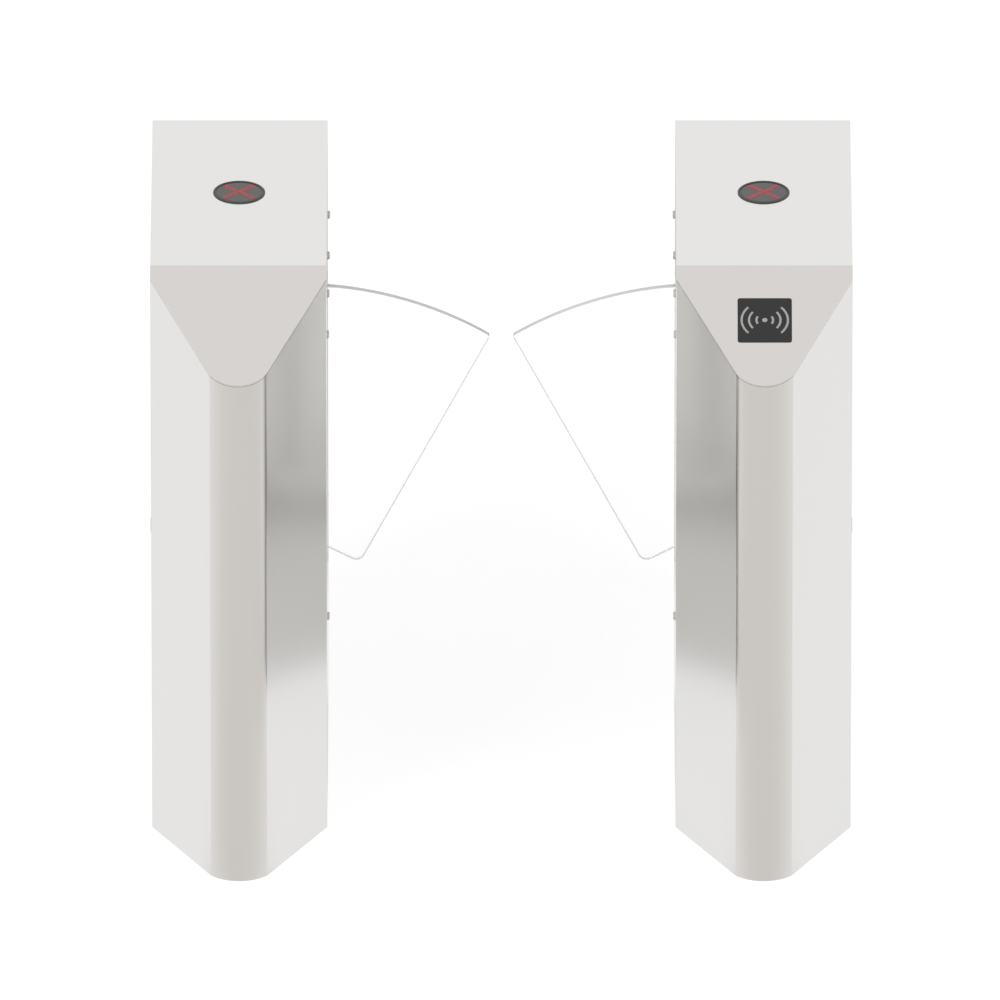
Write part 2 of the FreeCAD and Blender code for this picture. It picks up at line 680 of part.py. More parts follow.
def stop_buffers():
    """Rubber stops on the frame at the two ends of the sector's travel."""
    first, last = sector_edges()
    lead = math.degrees(math.asin((BUFFER_RADIUS + STOP_GAP) / BUFFER_THROW))
    buffers = []
    for angle in (first - lead, last + SWING_ANGLE + lead):
        centre = pivot_point(angle, BUFFER_THROW)
        buffers.append(rod_y(BUFFER_RADIUS, centre, FRAME_INNER - BUFFER_LENGTH, FRAME_INNER))
    return buffers


def equipment_plate():
    high = EQUIPMENT_LOW + EQUIPMENT_HEIGHT
    end = EQUIPMENT_START + EQUIPMENT_WIDTH
    sheet = box(EQUIPMENT_FACE, EQUIPMENT_FACE + EQUIPMENT_SHEET, EQUIPMENT_START, end, EQUIPMENT_LOW, high)
    inset = 2 * STANDOFF_RADIUS
    standoffs = []
    for y in (EQUIPMENT_START + inset, end - inset):
        for z in (EQUIPMENT_LOW + inset, high - inset):
            standoffs.append(rod_x(STANDOFF_RADIUS, EQUIPMENT_FACE + EQUIPMENT_SHEET, INNER_FACE, y, z))
    return join(sheet, *standoffs)


def power_supply():
    front = EQUIPMENT_FACE - SUPPLY_DEPTH
    y0 = EQUIPMENT_START + (EQUIPMENT_WIDTH - SUPPLY_WIDTH) / 2
    y1 = y0 + SUPPLY_WIDTH
    low = EQUIPMENT_LOW + BOARD_SPACER
    high = low + SUPPLY_HEIGHT
    case = box(front, EQUIPMENT_FACE, y0, y1, low, high)
    ledge = box(front, EQUIPMENT_FACE - SUPPLY_DEPTH / 2, y0, y1, low, low + SUPPLY_DEPTH / 2)
    case = case.cut(ledge)
    pitch = SUPPLY_WIDTH / (SUPPLY_TERMINALS + 1)
    lugs = []
    for index in range(SUPPLY_TERMINALS):
        y = y0 + pitch * (index + 1)
        x = EQUIPMENT_FACE - SUPPLY_DEPTH / 2
        lugs.append(box(x - BOARD_SPACER, x, y - pitch / 3, y + pitch / 3, low, low + BOARD_SPACER))
    return join(case, *lugs)


def control_board():
    low = EQUIPMENT_LOW + SUPPLY_HEIGHT + 4 * BOARD_SPACER
    high = EQUIPMENT_LOW + EQUIPMENT_HEIGHT - BOARD_MARGIN
    y0 = EQUIPMENT_START + BOARD_MARGIN
    y1 = EQUIPMENT_START + EQUIPMENT_WIDTH - BOARD_MARGIN
    back = EQUIPMENT_FACE - BOARD_SPACER
    front = back - BOARD_THICKNESS
    pieces = [box(front, back, y0, y1, low, high)]
    for y in (y0 + BOARD_MARGIN, y1 - BOARD_MARGIN):
        for z in (low + BOARD_MARGIN, high - BOARD_MARGIN):
            pieces.append(rod_x(BOARD_MARGIN / 2, back, EQUIPMENT_FACE, y, z))
    pitch = (y1 - y0) / BOARD_PLUGS
    middle = (low + high) / 2
    for index in range(BOARD_PLUGS):
        y = y0 + pitch * index
        pieces.append(box(front - 2 * BOARD_SPACER, front, y + pitch / 8, y + pitch * 7 / 8,
                          low, low + 2 * BOARD_SPACER))
        pieces.append(box(front - 1.5 * BOARD_SPACER, front, y + pitch / 5, y + pitch * 4 / 5,
                          middle, middle + pitch))
    pieces.append(rod_x(BOARD_SPACER, front - 3 * BOARD_SPACER, front, y1 - pitch, high - pitch))
    return join(*pieces)


def access_door():
    face = -HALF_WIDTH
    pan = box(face, face + DOOR_FLANGE, -DOOR_HALF, DOOR_HALF, DOOR_LOW, DOOR_HIGH)
    reach = DOOR_HALF - SHEET
    pan = pan.cut(box(face + SHEET, 0, -reach, reach, DOOR_LOW + SHEET, DOOR_HIGH - SHEET))
    proud = DOOR_GAP + SEAM + BRACKET_SHEET + DOOR_PIN_RADIUS
    pins = [rod_z(DOOR_PIN_RADIUS, DOOR_PIN_X, DOOR_PIN_Y, DOOR_HIGH - 2 * SHEET, DOOR_HIGH + proud)]
    pins.append(rod_z(DOOR_PIN_RADIUS, DOOR_PIN_X, DOOR_PIN_Y, DOOR_LOW - proud, DOOR_LOW + 2 * SHEET))
    hole = rod_x(LOCK_BARREL_RADIUS + FIT_CLEARANCE, -CABINET_WIDTH, 0, LOCK_Y, LOCK_Z)
    return join(pan, *pins).cut(hole)


def hinge_bracket(ear_low, leg_low):
    half = BRACKET_WIDTH / 2
    y0 = DOOR_PIN_Y - half
    y1 = DOOR_PIN_Y + half
    ear = box(-INNER_FACE, DOOR_PIN_X + half, y0, y1, ear_low, ear_low + BRACKET_SHEET)
    leg = box(-INNER_FACE, BRACKET_SHEET - INNER_FACE, y0, y1, leg_low, leg_low + BRACKET_LEG)
    hole = rod_z(DOOR_PIN_RADIUS + RUN_CLEARANCE, DOOR_PIN_X, DOOR_PIN_Y, ear_low, ear_low + BRACKET_SHEET)
    return join(ear, leg).cut(hole)


def door_brackets():
    """Two hinge brackets and the keeper that the lock's cam turns behind."""
    top = DOOR_HIGH + DOOR_GAP + SEAM
    bottom = DOOR_LOW - DOOR_GAP - SEAM - BRACKET_SHEET
    upper = hinge_bracket(top, top)
    lower = hinge_bracket(bottom, bottom + BRACKET_SHEET - BRACKET_LEG)
    edge = -DOOR_HALF - DOOR_GAP - KEEPER_LAP
    half = BRACKET_WIDTH / 2
    foot = box(-INNER_FACE, BRACKET_SHEET - INNER_FACE, edge - half, edge, LOCK_Z - half, LOCK_Z + half)
    stop = box(-INNER_FACE, CAM_FACE - SEAM, edge - BRACKET_SHEET, edge, LOCK_Z - half, LOCK_Z + half)
    return Part.Compound([upper, lower, join(foot, stop)])


def lock_housing():
    face = -HALF_WIDTH
    flange = rod_x(LOCK_FLANGE_RADIUS, face - LOCK_FLANGE, face, LOCK_Y, LOCK_Z)
    barrel = rod_x(LOCK_BARREL_RADIUS, face, CAM_FACE - SEAM, LOCK_Y, LOCK_Z)
    nut = rod_x(LOCK_FLANGE_RADIUS, face + SHEET, face + SHEET + LOCK_NUT, LOCK_Y, LOCK_Z)
    bore = rod_x(LOCK_PLUG_RADIUS + RUN_CLEARANCE, -CABINET_WIDTH, 0, LOCK_Y, LOCK_Z)
    return join(flange, barrel, nut).cut(bore)


def lock_cylinder():
    face = -HALF_WIDTH - LOCK_FLANGE
    plug = rod_x(LOCK_PLUG_RADIUS, face, CAM_FACE + 2 * CAM_SHEET, LOCK_Y, LOCK_Z)
    half = CAM_WIDTH / 2
    cam = box(CAM_FACE, CAM_FACE + CAM_SHEET, LOCK_Y - half, LOCK_Y + half,
              LOCK_Z - CAM_REACH, LOCK_Z + half)
    key = box(face, face + LOCK_FLANGE, LOCK_Y - SEAM, LOCK_Y + SEAM,
              LOCK_Z - LOCK_PLUG_RADIUS / 2, LOCK_Z + LOCK_PLUG_RADIUS / 2)
    return join(plug, cam).cut(key)


def on_left(shape):
    moved = shape.copy()
    moved.translate(Vector(-PEDESTAL_OFFSET, 0, 0))
    return moved


def on_right(shape):
    moved = shape.mirror(Vector(0, 0, 0), Vector(1, 0, 0))
    moved.translate(Vector(PEDESTAL_OFFSET, 0, 0))
    return moved


def on_both(solids):
    return Part.Compound([on_left(solid) for solid in solids] + [on_right(solid) for solid in solids])


walls = body_walls()
front_end = end_shell(walls)
pedestal = {
    "base_plate": base_plate(),
    "base_rim": base_rim(),
    "front_end": front_end,
    "rear_end": front_end.mirror(Vector(0, 0, 0), Vector(0, 1, 0)),
    "lane_panel": lane_panel(walls),
    "outer_panel": outer_panel(walls),
    "slot_trim": slot_trim(),
    "indicator_bezel": indicator_bezel(),
    "indicator_lens": indicator_lens(),
    "indicator_cross": cross_bars(0),
    "drive_frame": drive_frame(),
    "gear_motor": gear_motor(),
    "power_supply": power_supply(),
    "control_board": control_board(),
    "door_brackets": door_brackets(),
    "wing_panel": wing_panel(),
    "wing_hub": wing_hub(),
    "clamp_plates": clamp_plates(),
    "clamp_bolts": clamp_bolts(),
    "wing_shaft": wing_shaft(),
    "sector_gear": sector_gear(),
    "pinion": pinion(),
    "access_door": access_door(),
    "lock_housing": lock_housing(),
    "lock_cylinder": lock_cylinder(),
}

nodes = {}
for name, shape in pedestal.items():
    nodes["left_" + name] = on_left(shape)
    nodes["right_" + name] = on_right(shape)
nodes["left_top_cover"] = on_left(top_cover(False))
nodes["right_top_cover"] = on_right(top_cover(True))
nodes["reader_window"] = on_right(reader_window())
nodes["reader_module"] = on_right(reader_module())
nodes["sensor_bezels"] = on_both([sensor_bezel(y, z) for y, z in sensor_places()])
nodes["sensor_eyes"] = on_both([sensor_eye(y, z) for y, z in sensor_places()])
nodes["lamp_housings"] = on_both([lamp_housing()])
nodes["equipment_plates"] = on_both([equipment_plate()])
nodes["bearing_units"] = on_both(bearing_units())
nodes["stop_buffers"] = on_both(stop_buffers())

os.makedirs("parts", exist_ok=True)
for name, shape in nodes.items():
    shape.exportStep("parts/" + name + ".step")
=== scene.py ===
import bpy
import json
import math
from mathutils import Matrix, Vector


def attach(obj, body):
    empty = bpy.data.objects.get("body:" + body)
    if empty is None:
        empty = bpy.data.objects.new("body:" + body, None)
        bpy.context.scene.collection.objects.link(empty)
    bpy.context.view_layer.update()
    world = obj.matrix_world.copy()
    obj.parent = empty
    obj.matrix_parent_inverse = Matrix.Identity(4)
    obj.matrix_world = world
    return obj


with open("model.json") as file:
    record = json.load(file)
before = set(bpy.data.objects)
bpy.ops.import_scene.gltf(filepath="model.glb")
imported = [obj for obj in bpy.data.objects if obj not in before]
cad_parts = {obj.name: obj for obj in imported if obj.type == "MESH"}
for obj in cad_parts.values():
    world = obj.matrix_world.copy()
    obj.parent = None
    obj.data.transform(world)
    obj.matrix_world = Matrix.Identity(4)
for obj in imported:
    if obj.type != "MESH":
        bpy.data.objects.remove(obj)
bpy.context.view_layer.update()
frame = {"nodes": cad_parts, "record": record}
SIDES = {"left": -1, "right": 1}

# From the lane's middle to a pedestal's middle, in metres as all the places are.
PEDESTAL_X = 0.418

# Places on a pedestal: x from its middle towards the lane, y along it, z above the floor.
NOSE_Y = -0.480
LID_HEIGHT = 0.980
FRONT_FOLD = -0.2725
SLOPE_DROP = 0.106
SLOPE_RUN = 0.2225
READER_SETBACK = 0.113
PIVOT_X = 0.090
PIVOT_Z = 0.237
PINION_X = -0.009
WING_RADIUS = 0.582
WING_TURN = math.radians(27.5)
BEARING_FACE = 0.080
MOTOR_FLANGE = 0.076
DRIVE_FOOT_TOP = 0.014
BOLT_HEAD_FACE = -0.020
PLATE_FACE = 0.1105
SUPPLY_FACE = 0.0665
BOARD_FACE = 0.1009
BOARD_START = -0.249
BOARD_PITCH = 0.023
KEY_SLOT = (-0.1407, -0.187, 0.4825)

# Ways that a screw or a dome faces.
UPWARD = (0, 0, 1)
TO_FRONT = (0, -1, 0)
TO_REAR = (0, 1, 0)
TO_DOOR = (-1, 0, 0)


class Signal:
    """A node's output that takes part in sums."""

    def __init__(self, sheet, socket):
        self.sheet = sheet
        self.socket = socket

    def combine(self, operation, first, second):
        sockets = {0: first, 1: second}
        return self.sheet.node("ShaderNodeMath", {"operation": operation}, sockets)

    def lower(self, other):
        return self.combine("MINIMUM", self, other)

    def __add__(self, other):
        return self.combine("ADD", self, other)

    def __sub__(self, other):
        return self.combine("SUBTRACT", self, other)

    def __rsub__(self, other):
        return self.combine("SUBTRACT", other, self)

    def __mul__(self, other):
        return self.combine("MULTIPLY", self, other)

    def __truediv__(self, other):
        return self.combine("DIVIDE", self, other)

    def __pow__(self, other):
        return self.combine("POWER", self, other)

    def __abs__(self):
        return self.sheet.node("ShaderNodeMath", {"operation": "ABSOLUTE"}, {0: self})

    __radd__ = __add__
    __rmul__ = __mul__


class Sheet:
    """A node tree that is drawn up one node at a time."""

    def __init__(self, tree):
        self.tree = tree
        tree.nodes.clear()

    def node(self, kind, settings=None, sockets=None, output=0):
        made = self.tree.nodes.new(kind)
        for name, value in (settings or {}).items():
            setattr(made, name, value)
        for key, value in (sockets or {}).items():
            for one in value if isinstance(value, list) else [value]:
                self.plug(one, made.inputs[key])
        return Signal(self, made.outputs[output]) if made.outputs else None

    def plug(self, value, socket):
        if isinstance(value, Signal):
            self.tree.links.new(value.socket, socket)
        else:
            socket.default_value = value

    def band(self, signal, low, high):
        """0 below the low level, 1 above the high one."""
        sockets = {"Value": signal, "From Min": low, "From Max": high}
        return self.node("ShaderNodeMapRange", {"interpolation_type": "SMOOTHSTEP"}, sockets)

    def tones(self, factor, first, second):
        """From the first colour to the second one, each a signal or three numbers."""
        first = first if isinstance(first, Signal) else (*first, 1.0)
        second = second if isinstance(second, Signal) else (*second, 1.0)
        sockets = {0: factor, 6: first, 7: second}
        return self.node("ShaderNodeMix", {"data_type": "RGBA"}, sockets, 2)


class Finish(Sheet):
    """A material whose patterns lie on the object's own coordinates."""

    def __init__(self, name):
        self.material = bpy.data.materials.new(name)
        self.material.use_nodes = True
        super().__init__(self.material.node_tree)
        self.place = self.node("ShaderNodeTexCoord", output="Object")

    def axes(self, names):
        """The place's coordinates on the named axes."""
        split = "ShaderNodeSeparateXYZ"
        return [self.node(split, {}, {"Vector": self.place}, name) for name in names]

    def noise(self, scale, stretch=(1.0, 1.0, 1.0), detail=3.0):
        spread = self.node("ShaderNodeMapping", {}, {"Vector": self.place, "Scale": stretch})
        sockets = {"Vector": spread, "Scale": scale, "Detail": detail, "Roughness": 0.6}
        return self.node("ShaderNodeTexNoise", {}, sockets, "Fac")

    def cells(self, scale, feature="F1", output="Distance"):
        sockets = {"Vector": self.place, "Scale": scale}
        return self.node("ShaderNodeTexVoronoi", {"feature": feature}, sockets, output)

    def relief(self, height, strength, distance):
        sockets = {"Height": height, "Strength": strength, "Distance": distance}
        return self.node("ShaderNodeBump", {}, sockets, "Normal")

    def shader(self, **sockets):
        named = {name.replace("_", " "): value for name, value in sockets.items()}
        return self.node("ShaderNodeBsdfPrincipled", {}, named, "BSDF")

    def shown(self, shader):
        self.node("ShaderNodeOutputMaterial", {}, {"Surface": shader})
        return self.material

    def surface(self, **sockets):
        return self.shown(self.shader(**sockets))

    def blend(self, factor, first, second):
        sockets = {0: factor, 1: first, 2: second}
        return self.shown(self.node("ShaderNodeMixShader", {}, sockets, "Shader"))


def grey(level):
    return (level, level, level)


def hairline_steel(name, stretch):
    """Satin stainless sheet with fine lines brushed along the direction of least stretch."""
    finish = Finish(name)
    lines = finish.noise(1.0, stretch, 4.0)
    mottle = finish.noise(3.0, detail=2.0)
    wiped = finish.band(finish.noise(1.6, (1.0, 1.0, 0.4), 4.0), 0.52, 0.78)
    mixed = lines * 0.8 + mottle * 0.2
    tone = finish.tones(mixed, (0.811, 0.804, 0.788), (0.843, 0.836, 0.820))
    roughness = 0.140 + 0.030 * lines + 0.015 * mottle + 0.010 * wiped
    return finish.surface(Base_Color=tone, Metallic=1.0, Roughness=roughness,
                          Normal=finish.relief(lines, 0.008, 0.0001))


def zinc_plate():
    finish = Finish("zinc plated steel")
    spangle = finish.cells(70.0, output="Color")
    level = finish.node("ShaderNodeRGBToBW", {}, {"Color": spangle})
    fine = finish.noise(180.0)
    tone = finish.tones(level, (0.42, 0.43, 0.44), (0.60, 0.61, 0.62))
    roughness = 0.32 + 0.14 * level + 0.08 * fine
    return finish.surface(Base_Color=tone, Metallic=0.9, Roughness=roughness,
                          Normal=finish.relief(fine, 0.08, 0.0003))


def turned_steel():
    finish = Finish("machined steel")
    cuts = finish.noise(60.0, (4.0, 40.0, 4.0), 2.0)
    oil = finish.band(finish.noise(14.0), 0.45, 0.7)
    tone = finish.tones(oil, (0.56, 0.56, 0.57), (0.36, 0.35, 0.34))
    roughness = 0.24 + 0.16 * cuts - 0.06 * oil
    return finish.surface(Base_Color=tone, Metallic=1.0, Roughness=roughness,
                          Normal=finish.relief(cuts, 0.12, 0.0002))


def painted_casting():
    finish = Finish("painted cast iron")
    skin = finish.noise(220.0, detail=5.0)
    dust = finish.noise(18.0)
    tone = finish.tones(dust, (0.045, 0.065, 0.085), (0.085, 0.105, 0.125))
    return finish.surface(Base_Color=tone, Roughness=0.38 + 0.2 * dust,
                          Normal=finish.relief(skin, 0.35, 0.0006))


def motor_paint():
    finish = Finish("black motor paint")
    peel = finish.noise(260.0, detail=2.0)
    dust = finish.band(finish.noise(22.0), 0.4, 0.8)
    tone = finish.tones(dust, (0.012, 0.012, 0.013), (0.045, 0.044, 0.042))
    return finish.surface(Base_Color=tone, Roughness=0.32 + 0.2 * dust,
                          Normal=finish.relief(peel, 0.2, 0.0004))


def drawn_aluminium():
    finish = Finish("bare aluminium sheet")
    rolled = finish.noise(1.0, (300.0, 300.0, 12.0))
    tone = finish.tones(rolled, (0.60, 0.61, 0.62), (0.76, 0.77, 0.78))
    return finish.surface(Base_Color=tone, Metallic=1.0, Roughness=0.3 + 0.16 * rolled,
                          Normal=finish.relief(rolled, 0.08, 0.0002))


def clear_sheet():
    """Polished faces, a sawn arc that scatters the light, and nearly clear straight edges."""
    finish = Finish("clear acrylic sheet")
    facing = finish.node("ShaderNodeTexCoord", output="Normal")
    across = finish.node("ShaderNodeSeparateXYZ", {}, {"Vector": facing}, "Y")
    x, z = finish.axes("XZ")
    out = abs(x) - (PEDESTAL_X - PIVOT_X)
    up = z - PIVOT_Z
    radius = (out * out + up * up) ** 0.5
    arc = finish.band(radius, WING_RADIUS - 0.0025, WING_RADIUS - 0.0012)
    polished = finish.band(abs(across), 0.8 - 0.7 * arc, 0.95 - 0.2 * arc)
    edge = (1 - polished) * (1 - 0.15 * arc)
    touched = finish.band(finish.noise(9.0, detail=5.0), 0.58, 0.8)
    saw = finish.noise(1.0, (60.0, 900.0, 60.0))
    clear = finish.tones(touched, (0.985, 0.99, 0.99), (0.965, 0.975, 0.975))
    face = finish.shader(Base_Color=clear, Roughness=0.004 + 0.03 * touched, IOR=1.49,
                         Transmission_Weight=1.0)
    frost = finish.tones(saw, (0.63, 0.64, 0.64), (0.73, 0.74, 0.74))
    rim = finish.shader(Base_Color=frost, Roughness=0.35 + 0.2 * saw, Alpha=0.45 + 0.55 * arc)
    return finish.blend(edge, face, rim)


def matt_rubber():
    finish = Finish("black rubber")
    grain = finish.noise(420.0, detail=4.0)
    bloom = finish.noise(30.0)
    tone = finish.tones(bloom, grey(0.012), (0.035, 0.034, 0.033))
    return finish.surface(Base_Color=tone, Roughness=0.62 + 0.2 * grain,
                          Normal=finish.relief(grain, 0.3, 0.0004))


def moulded_plastic(name, dark, light):
    finish = Finish(name)
    spark = finish.noise(700.0, detail=2.0)
    tone = finish.tones(finish.noise(25.0), dark, light)
    return finish.surface(Base_Color=tone, Roughness=0.36 + 0.14 * spark,
                          Normal=finish.relief(spark, 0.15, 0.0002))


def smoked_plastic(name, dark, light):
    finish = Finish(name)
    tone = finish.tones(finish.noise(40.0), dark, light)
    smear = finish.band(finish.noise(55.0, (1.0, 0.3, 1.0), 4.0), 0.5, 0.8)
    return finish.surface(Base_Color=tone, Roughness=0.05 + 0.1 * smear, IOR=1.5)


def red_light():
    finish = Finish("red light bar")
    grid = finish.cells(420.0)
    rim = finish.band(grid, 0.2, 0.6)
    tone = finish.tones(rim, (0.34, 0.016, 0.015), (0.19, 0.010, 0.010))
    return finish.surface(Base_Color=tone, Roughness=0.16 + 0.1 * grid,
                          Normal=finish.relief(1 - grid, 0.2, 0.0005))


def red_diode():
    finish = Finish("red diode")
    core = finish.noise(500.0)
    tone = finish.tones(core, (0.37, 0.018, 0.016), (0.26, 0.010, 0.010))
    return finish.surface(Base_Color=tone, Roughness=0.16 + 0.08 * core,
                          Emission_Color=tone, Emission_Strength=0.08)


def solder_mask():
    finish = Finish("green solder mask")
    tracks = finish.cells(160.0, "DISTANCE_TO_EDGE")
    covered = finish.band(tracks, 0.06, 0.1)
    drift = finish.noise(60.0)
    mask = finish.tones(drift, (0.012, 0.085, 0.035), (0.02, 0.12, 0.05))
    tone = finish.tones(covered, (0.05, 0.22, 0.09), mask)
    return finish.surface(Base_Color=tone, Roughness=0.28 + 0.12 * drift,
                          Normal=finish.relief(1 - covered, 0.25, 0.0002))


def lock_chrome():
    finish = Finish("dark chromed lock")
    wear = finish.band(finish.noise(160.0, detail=5.0), 0.55, 0.75)
    tone = finish.tones(wear, (0.40, 0.40, 0.405), (0.29, 0.285, 0.28))
    return finish.surface(Base_Color=tone, Metallic=1.0, Roughness=0.10 + 0.16 * wear)


def printed_ink():
    finish = Finish("light grey print")
    grain = finish.noise(800.0)
    tone = finish.tones(grain, grey(0.21), grey(0.28))
    return finish.surface(Base_Color=tone, Roughness=0.4 + 0.15 * grain)


# Painted shade: near-black for flat pieces set where screw sockets, vents and the key slot are
# holes, in place of the shade inside them.
def shadow_black():
    finish = Finish("dark recess")
    grain = finish.noise(300.0)
    tone = finish.tones(grain, grey(0.006), grey(0.018))
    return finish.surface(Base_Color=tone, Roughness=0.6 + 0.2 * grain)


# Stretch of the brushed lines' pattern along and across the lines.
LENGTHWISE = 9.0
CROSSWISE = 1700.0
wall_steel = hairline_steel("hairline steel, walls", (LENGTHWISE, LENGTHWISE, CROSSWISE))
lid_steel = hairline_steel("hairline steel, lid", (CROSSWISE, LENGTHWISE, LENGTHWISE))
machined = turned_steel()
bare_aluminium = drawn_aluminium()
hole_shade = shadow_black()
diode = red_diode()
print_ink = printed_ink()
edging = moulded_plastic("pale edging", (0.54, 0.535, 0.525), (0.62, 0.615, 0.605))
sensor_ring = moulded_plastic("pale sensor ring", (0.39, 0.386, 0.380), (0.45, 0.445, 0.438))
sensor_body = moulded_plastic("grey sensor plastic", (0.20, 0.197, 0.192), (0.27, 0.266, 0.26))
housing = moulded_plastic("dark moulded plastic", (0.022, 0.021, 0.021), (0.038, 0.037, 0.036))
sleeve = moulded_plastic("dark blue plastic", (0.010, 0.018, 0.045), (0.018, 0.028, 0.062))
plug_plastic = moulded_plastic("grey plug plastic", (0.17, 0.18, 0.175), (0.23, 0.24, 0.235))
chip_plastic = moulded_plastic("black chip plastic", grey(0.010), grey(0.020))
smoked_lens = smoked_plastic("smoked lens", (0.030, 0.032, 0.030), (0.044, 0.046, 0.043))
reader_pane = smoked_plastic("reader window", grey(0.006), (0.011, 0.011, 0.0105))
finishes = {
    "brushed_steel": wall_steel,
    "zinc_steel": zinc_plate(),
    "machined_steel": machined,
    "cast_housing": painted_casting(),
    "motor_paint": motor_paint(),
    "aluminium_case": bare_aluminium,
    "clear_acrylic": clear_sheet(),
    "black_rubber": matt_rubber(),
    "dark_plastic": housing,
    "smoked_lens": smoked_lens,
    "red_light": red_light(),
    "sensor_grey": sensor_body,
    "circuit_board": solder_mask(),
    "lock_chrome": lock_chrome(),
}
special = {
    "left_slot_trim": edging,
    "right_slot_trim": edging,
    "left_top_cover": lid_steel,
    "right_top_cover": lid_steel,
    "sensor_bezels": sensor_ring,
    "reader_window": reader_pane,
}

for part in frame["record"]["subparts"]:
    mesh = frame["nodes"][part["node"]].data
    mesh.materials.clear()
    mesh.materials.append(special.get(part["node"], finishes[part["material_slot"]]))


class SpotTree(Sheet):
    """A geometry tree that sets a shape on every spot of a mesh, by the vector marked there."""

    def __init__(self, name, mark, result, inputs):
        tree = bpy.data.node_groups.new(name, "GeometryNodeTree")
        for socket, kind in {"Spots": "Geometry", **inputs}.items():
            tree.interface.new_socket(socket, in_out="INPUT", socket_type="NodeSocket" + kind)
        tree.interface.new_socket(result, in_out="OUTPUT", socket_type="NodeSocketGeometry")
        super().__init__(tree)
        given = tree.nodes.new("NodeGroupInput").outputs
        self.wires = {socket.name: Signal(self, socket) for socket in given if socket.name}
        self.mark = mark
        settings = {"data_type": "FLOAT_VECTOR"}
        self.marked = self.node("GeometryNodeInputNamedAttribute", settings, {"Name": mark})

    def upright(self):
        """The turn that stands a shape up along the mark."""
        sockets = {"Vector": self.marked}
        return self.node("FunctionNodeAlignRotationToVector", {"axis": "Z"}, sockets)

    def spread(self, shape, finish, **placing):
        """Real copies of a shape on the spots, in the finish of that input."""
        sockets = {"Points": self.wires["Spots"], "Instance": shape, **placing}
        copies = self.node("GeometryNodeInstanceOnPoints", {}, sockets)
        real = self.node("GeometryNodeRealizeInstances", {}, {"Geometry": copies})
        sockets = {"Geometry": real, "Material": self.wires[finish]}
        return self.node("GeometryNodeSetMaterial", {}, sockets)

    def give(self, geometry):
        self.node("NodeGroupOutput", {}, {0: geometry})
        return self


def screw_tree():
    """Round heads, each with a socket of some sides in its top: a flat drum just proud of the
    head, which is painted shade on the screws.
    """
    sheet = SpotTree("screw heads on spots", "facing", "Heads", {
        "Head Radius": "Float", "Head Height": "Float", "Socket Radius": "Float",
        "Socket Sides": "Int", "Head Finish": "Material", "Socket Finish": "Material"})
    wires = sheet.wires
    turn = sheet.upright()
    head_sides = 20
    socket_proud = 0.0001
    drums = ((head_sides, "Head Radius", 0.0, "Head Finish"),
             (wires["Socket Sides"], "Socket Radius", socket_proud, "Socket Finish"))
    layers = []
    for sides, radius, proud, finish in drums:
        tall = wires["Head Height"] + proud
        sockets = {"Vertices": sides, "Radius": wires[radius], "Depth": tall}
        drum = sheet.node("GeometryNodeMeshCylinder", {}, sockets)
        lift = sheet.node("ShaderNodeCombineXYZ", {}, {"Z": tall * 0.5})
        sockets = {"Geometry": drum, "Translation": lift}
        raised = sheet.node("GeometryNodeTransform", {}, sockets)
        layers.append(sheet.spread(raised, finish, Rotation=turn))
    return sheet.give(sheet.node("GeometryNodeJoinGeometry", {}, {"Geometry": layers}))


def dome_tree():
    """Low domes."""
    sheet = SpotTree("domes on spots", "facing", "Domes", {
        "Dome Radius": "Float", "Dome Flatness": "Float", "Sides": "Int",
        "Dome Finish": "Material"})
    wires = sheet.wires
    sockets = {"Segments": wires["Sides"], "Rings": 6, "Radius": wires["Dome Radius"]}
    ball = sheet.node("GeometryNodeMeshUVSphere", {}, sockets)
    sockets = {"X": 1.0, "Y": 1.0, "Z": wires["Dome Flatness"]}
    squash = sheet.node("ShaderNodeCombineXYZ", {}, sockets)
    flat = sheet.node("GeometryNodeTransform", {}, {"Geometry": ball, "Scale": squash})
    sockets = {"Geometry": flat, "Shade Smooth": True}
    smooth = sheet.node("GeometryNodeSetShadeSmooth", {}, sockets)
    return sheet.give(sheet.spread(smooth, "Dome Finish", Rotation=sheet.upright()))


def block_tree():
    """Blocks of the marked extent."""
    sheet = SpotTree("blocks on spots", "extent", "Blocks", {"Block Finish": "Material"})
    cube = sheet.node("GeometryNodeMeshCube", {}, {"Size": (1.0, 1.0, 1.0)})
    return sheet.give(sheet.spread(cube, "Block Finish", Scale=sheet.marked))


screw_heads = screw_tree()
domes = dome_tree()
blocks = block_tree()


def stand_in_scene(name, data):
    made = bpy.data.objects.new(name, data)
    bpy.context.scene.collection.objects.link(made)
    return made


def set_on_spots(name, body, sheet, spots, sizes):
    """Run a tree on spots, each a place and its mark, and keep the plain mesh on the body."""
    mesh = bpy.data.meshes.new(name)
    mesh.from_pydata([place for place, _ in spots], [], [])
    marks = mesh.attributes.new(sheet.mark, "FLOAT_VECTOR", "POINT")
    for entry, (_, vector) in zip(marks.data, spots):
        entry.vector = vector
    piece = stand_in_scene(name, mesh)
    modifier = piece.modifiers.new("spread", "NODES")
    modifier.node_group = sheet.tree
    for item in sheet.tree.interface.items_tree:
        if item.in_out == "INPUT" and item.name in sizes:
            modifier[item.identifier] = sizes[item.name]
    graph = bpy.context.evaluated_depsgraph_get()
    made = bpy.data.meshes.new_from_object(piece.evaluated_get(graph), depsgraph=graph)
    made.name = name
    piece.modifiers.clear()
    piece.data = made
    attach(piece, body)


def lane_place(sign, place):
    """A place on a pedestal, put into the lane's frame."""
    x, y, z = place
    return Vector((sign * (PEDESTAL_X - x), y, z))


def spot(sign, place, facing):
    """A place on a pedestal and its facing, put into the lane's frame."""
    x, y, z = facing
    return lane_place(sign, place), Vector((-sign * x, y, z))


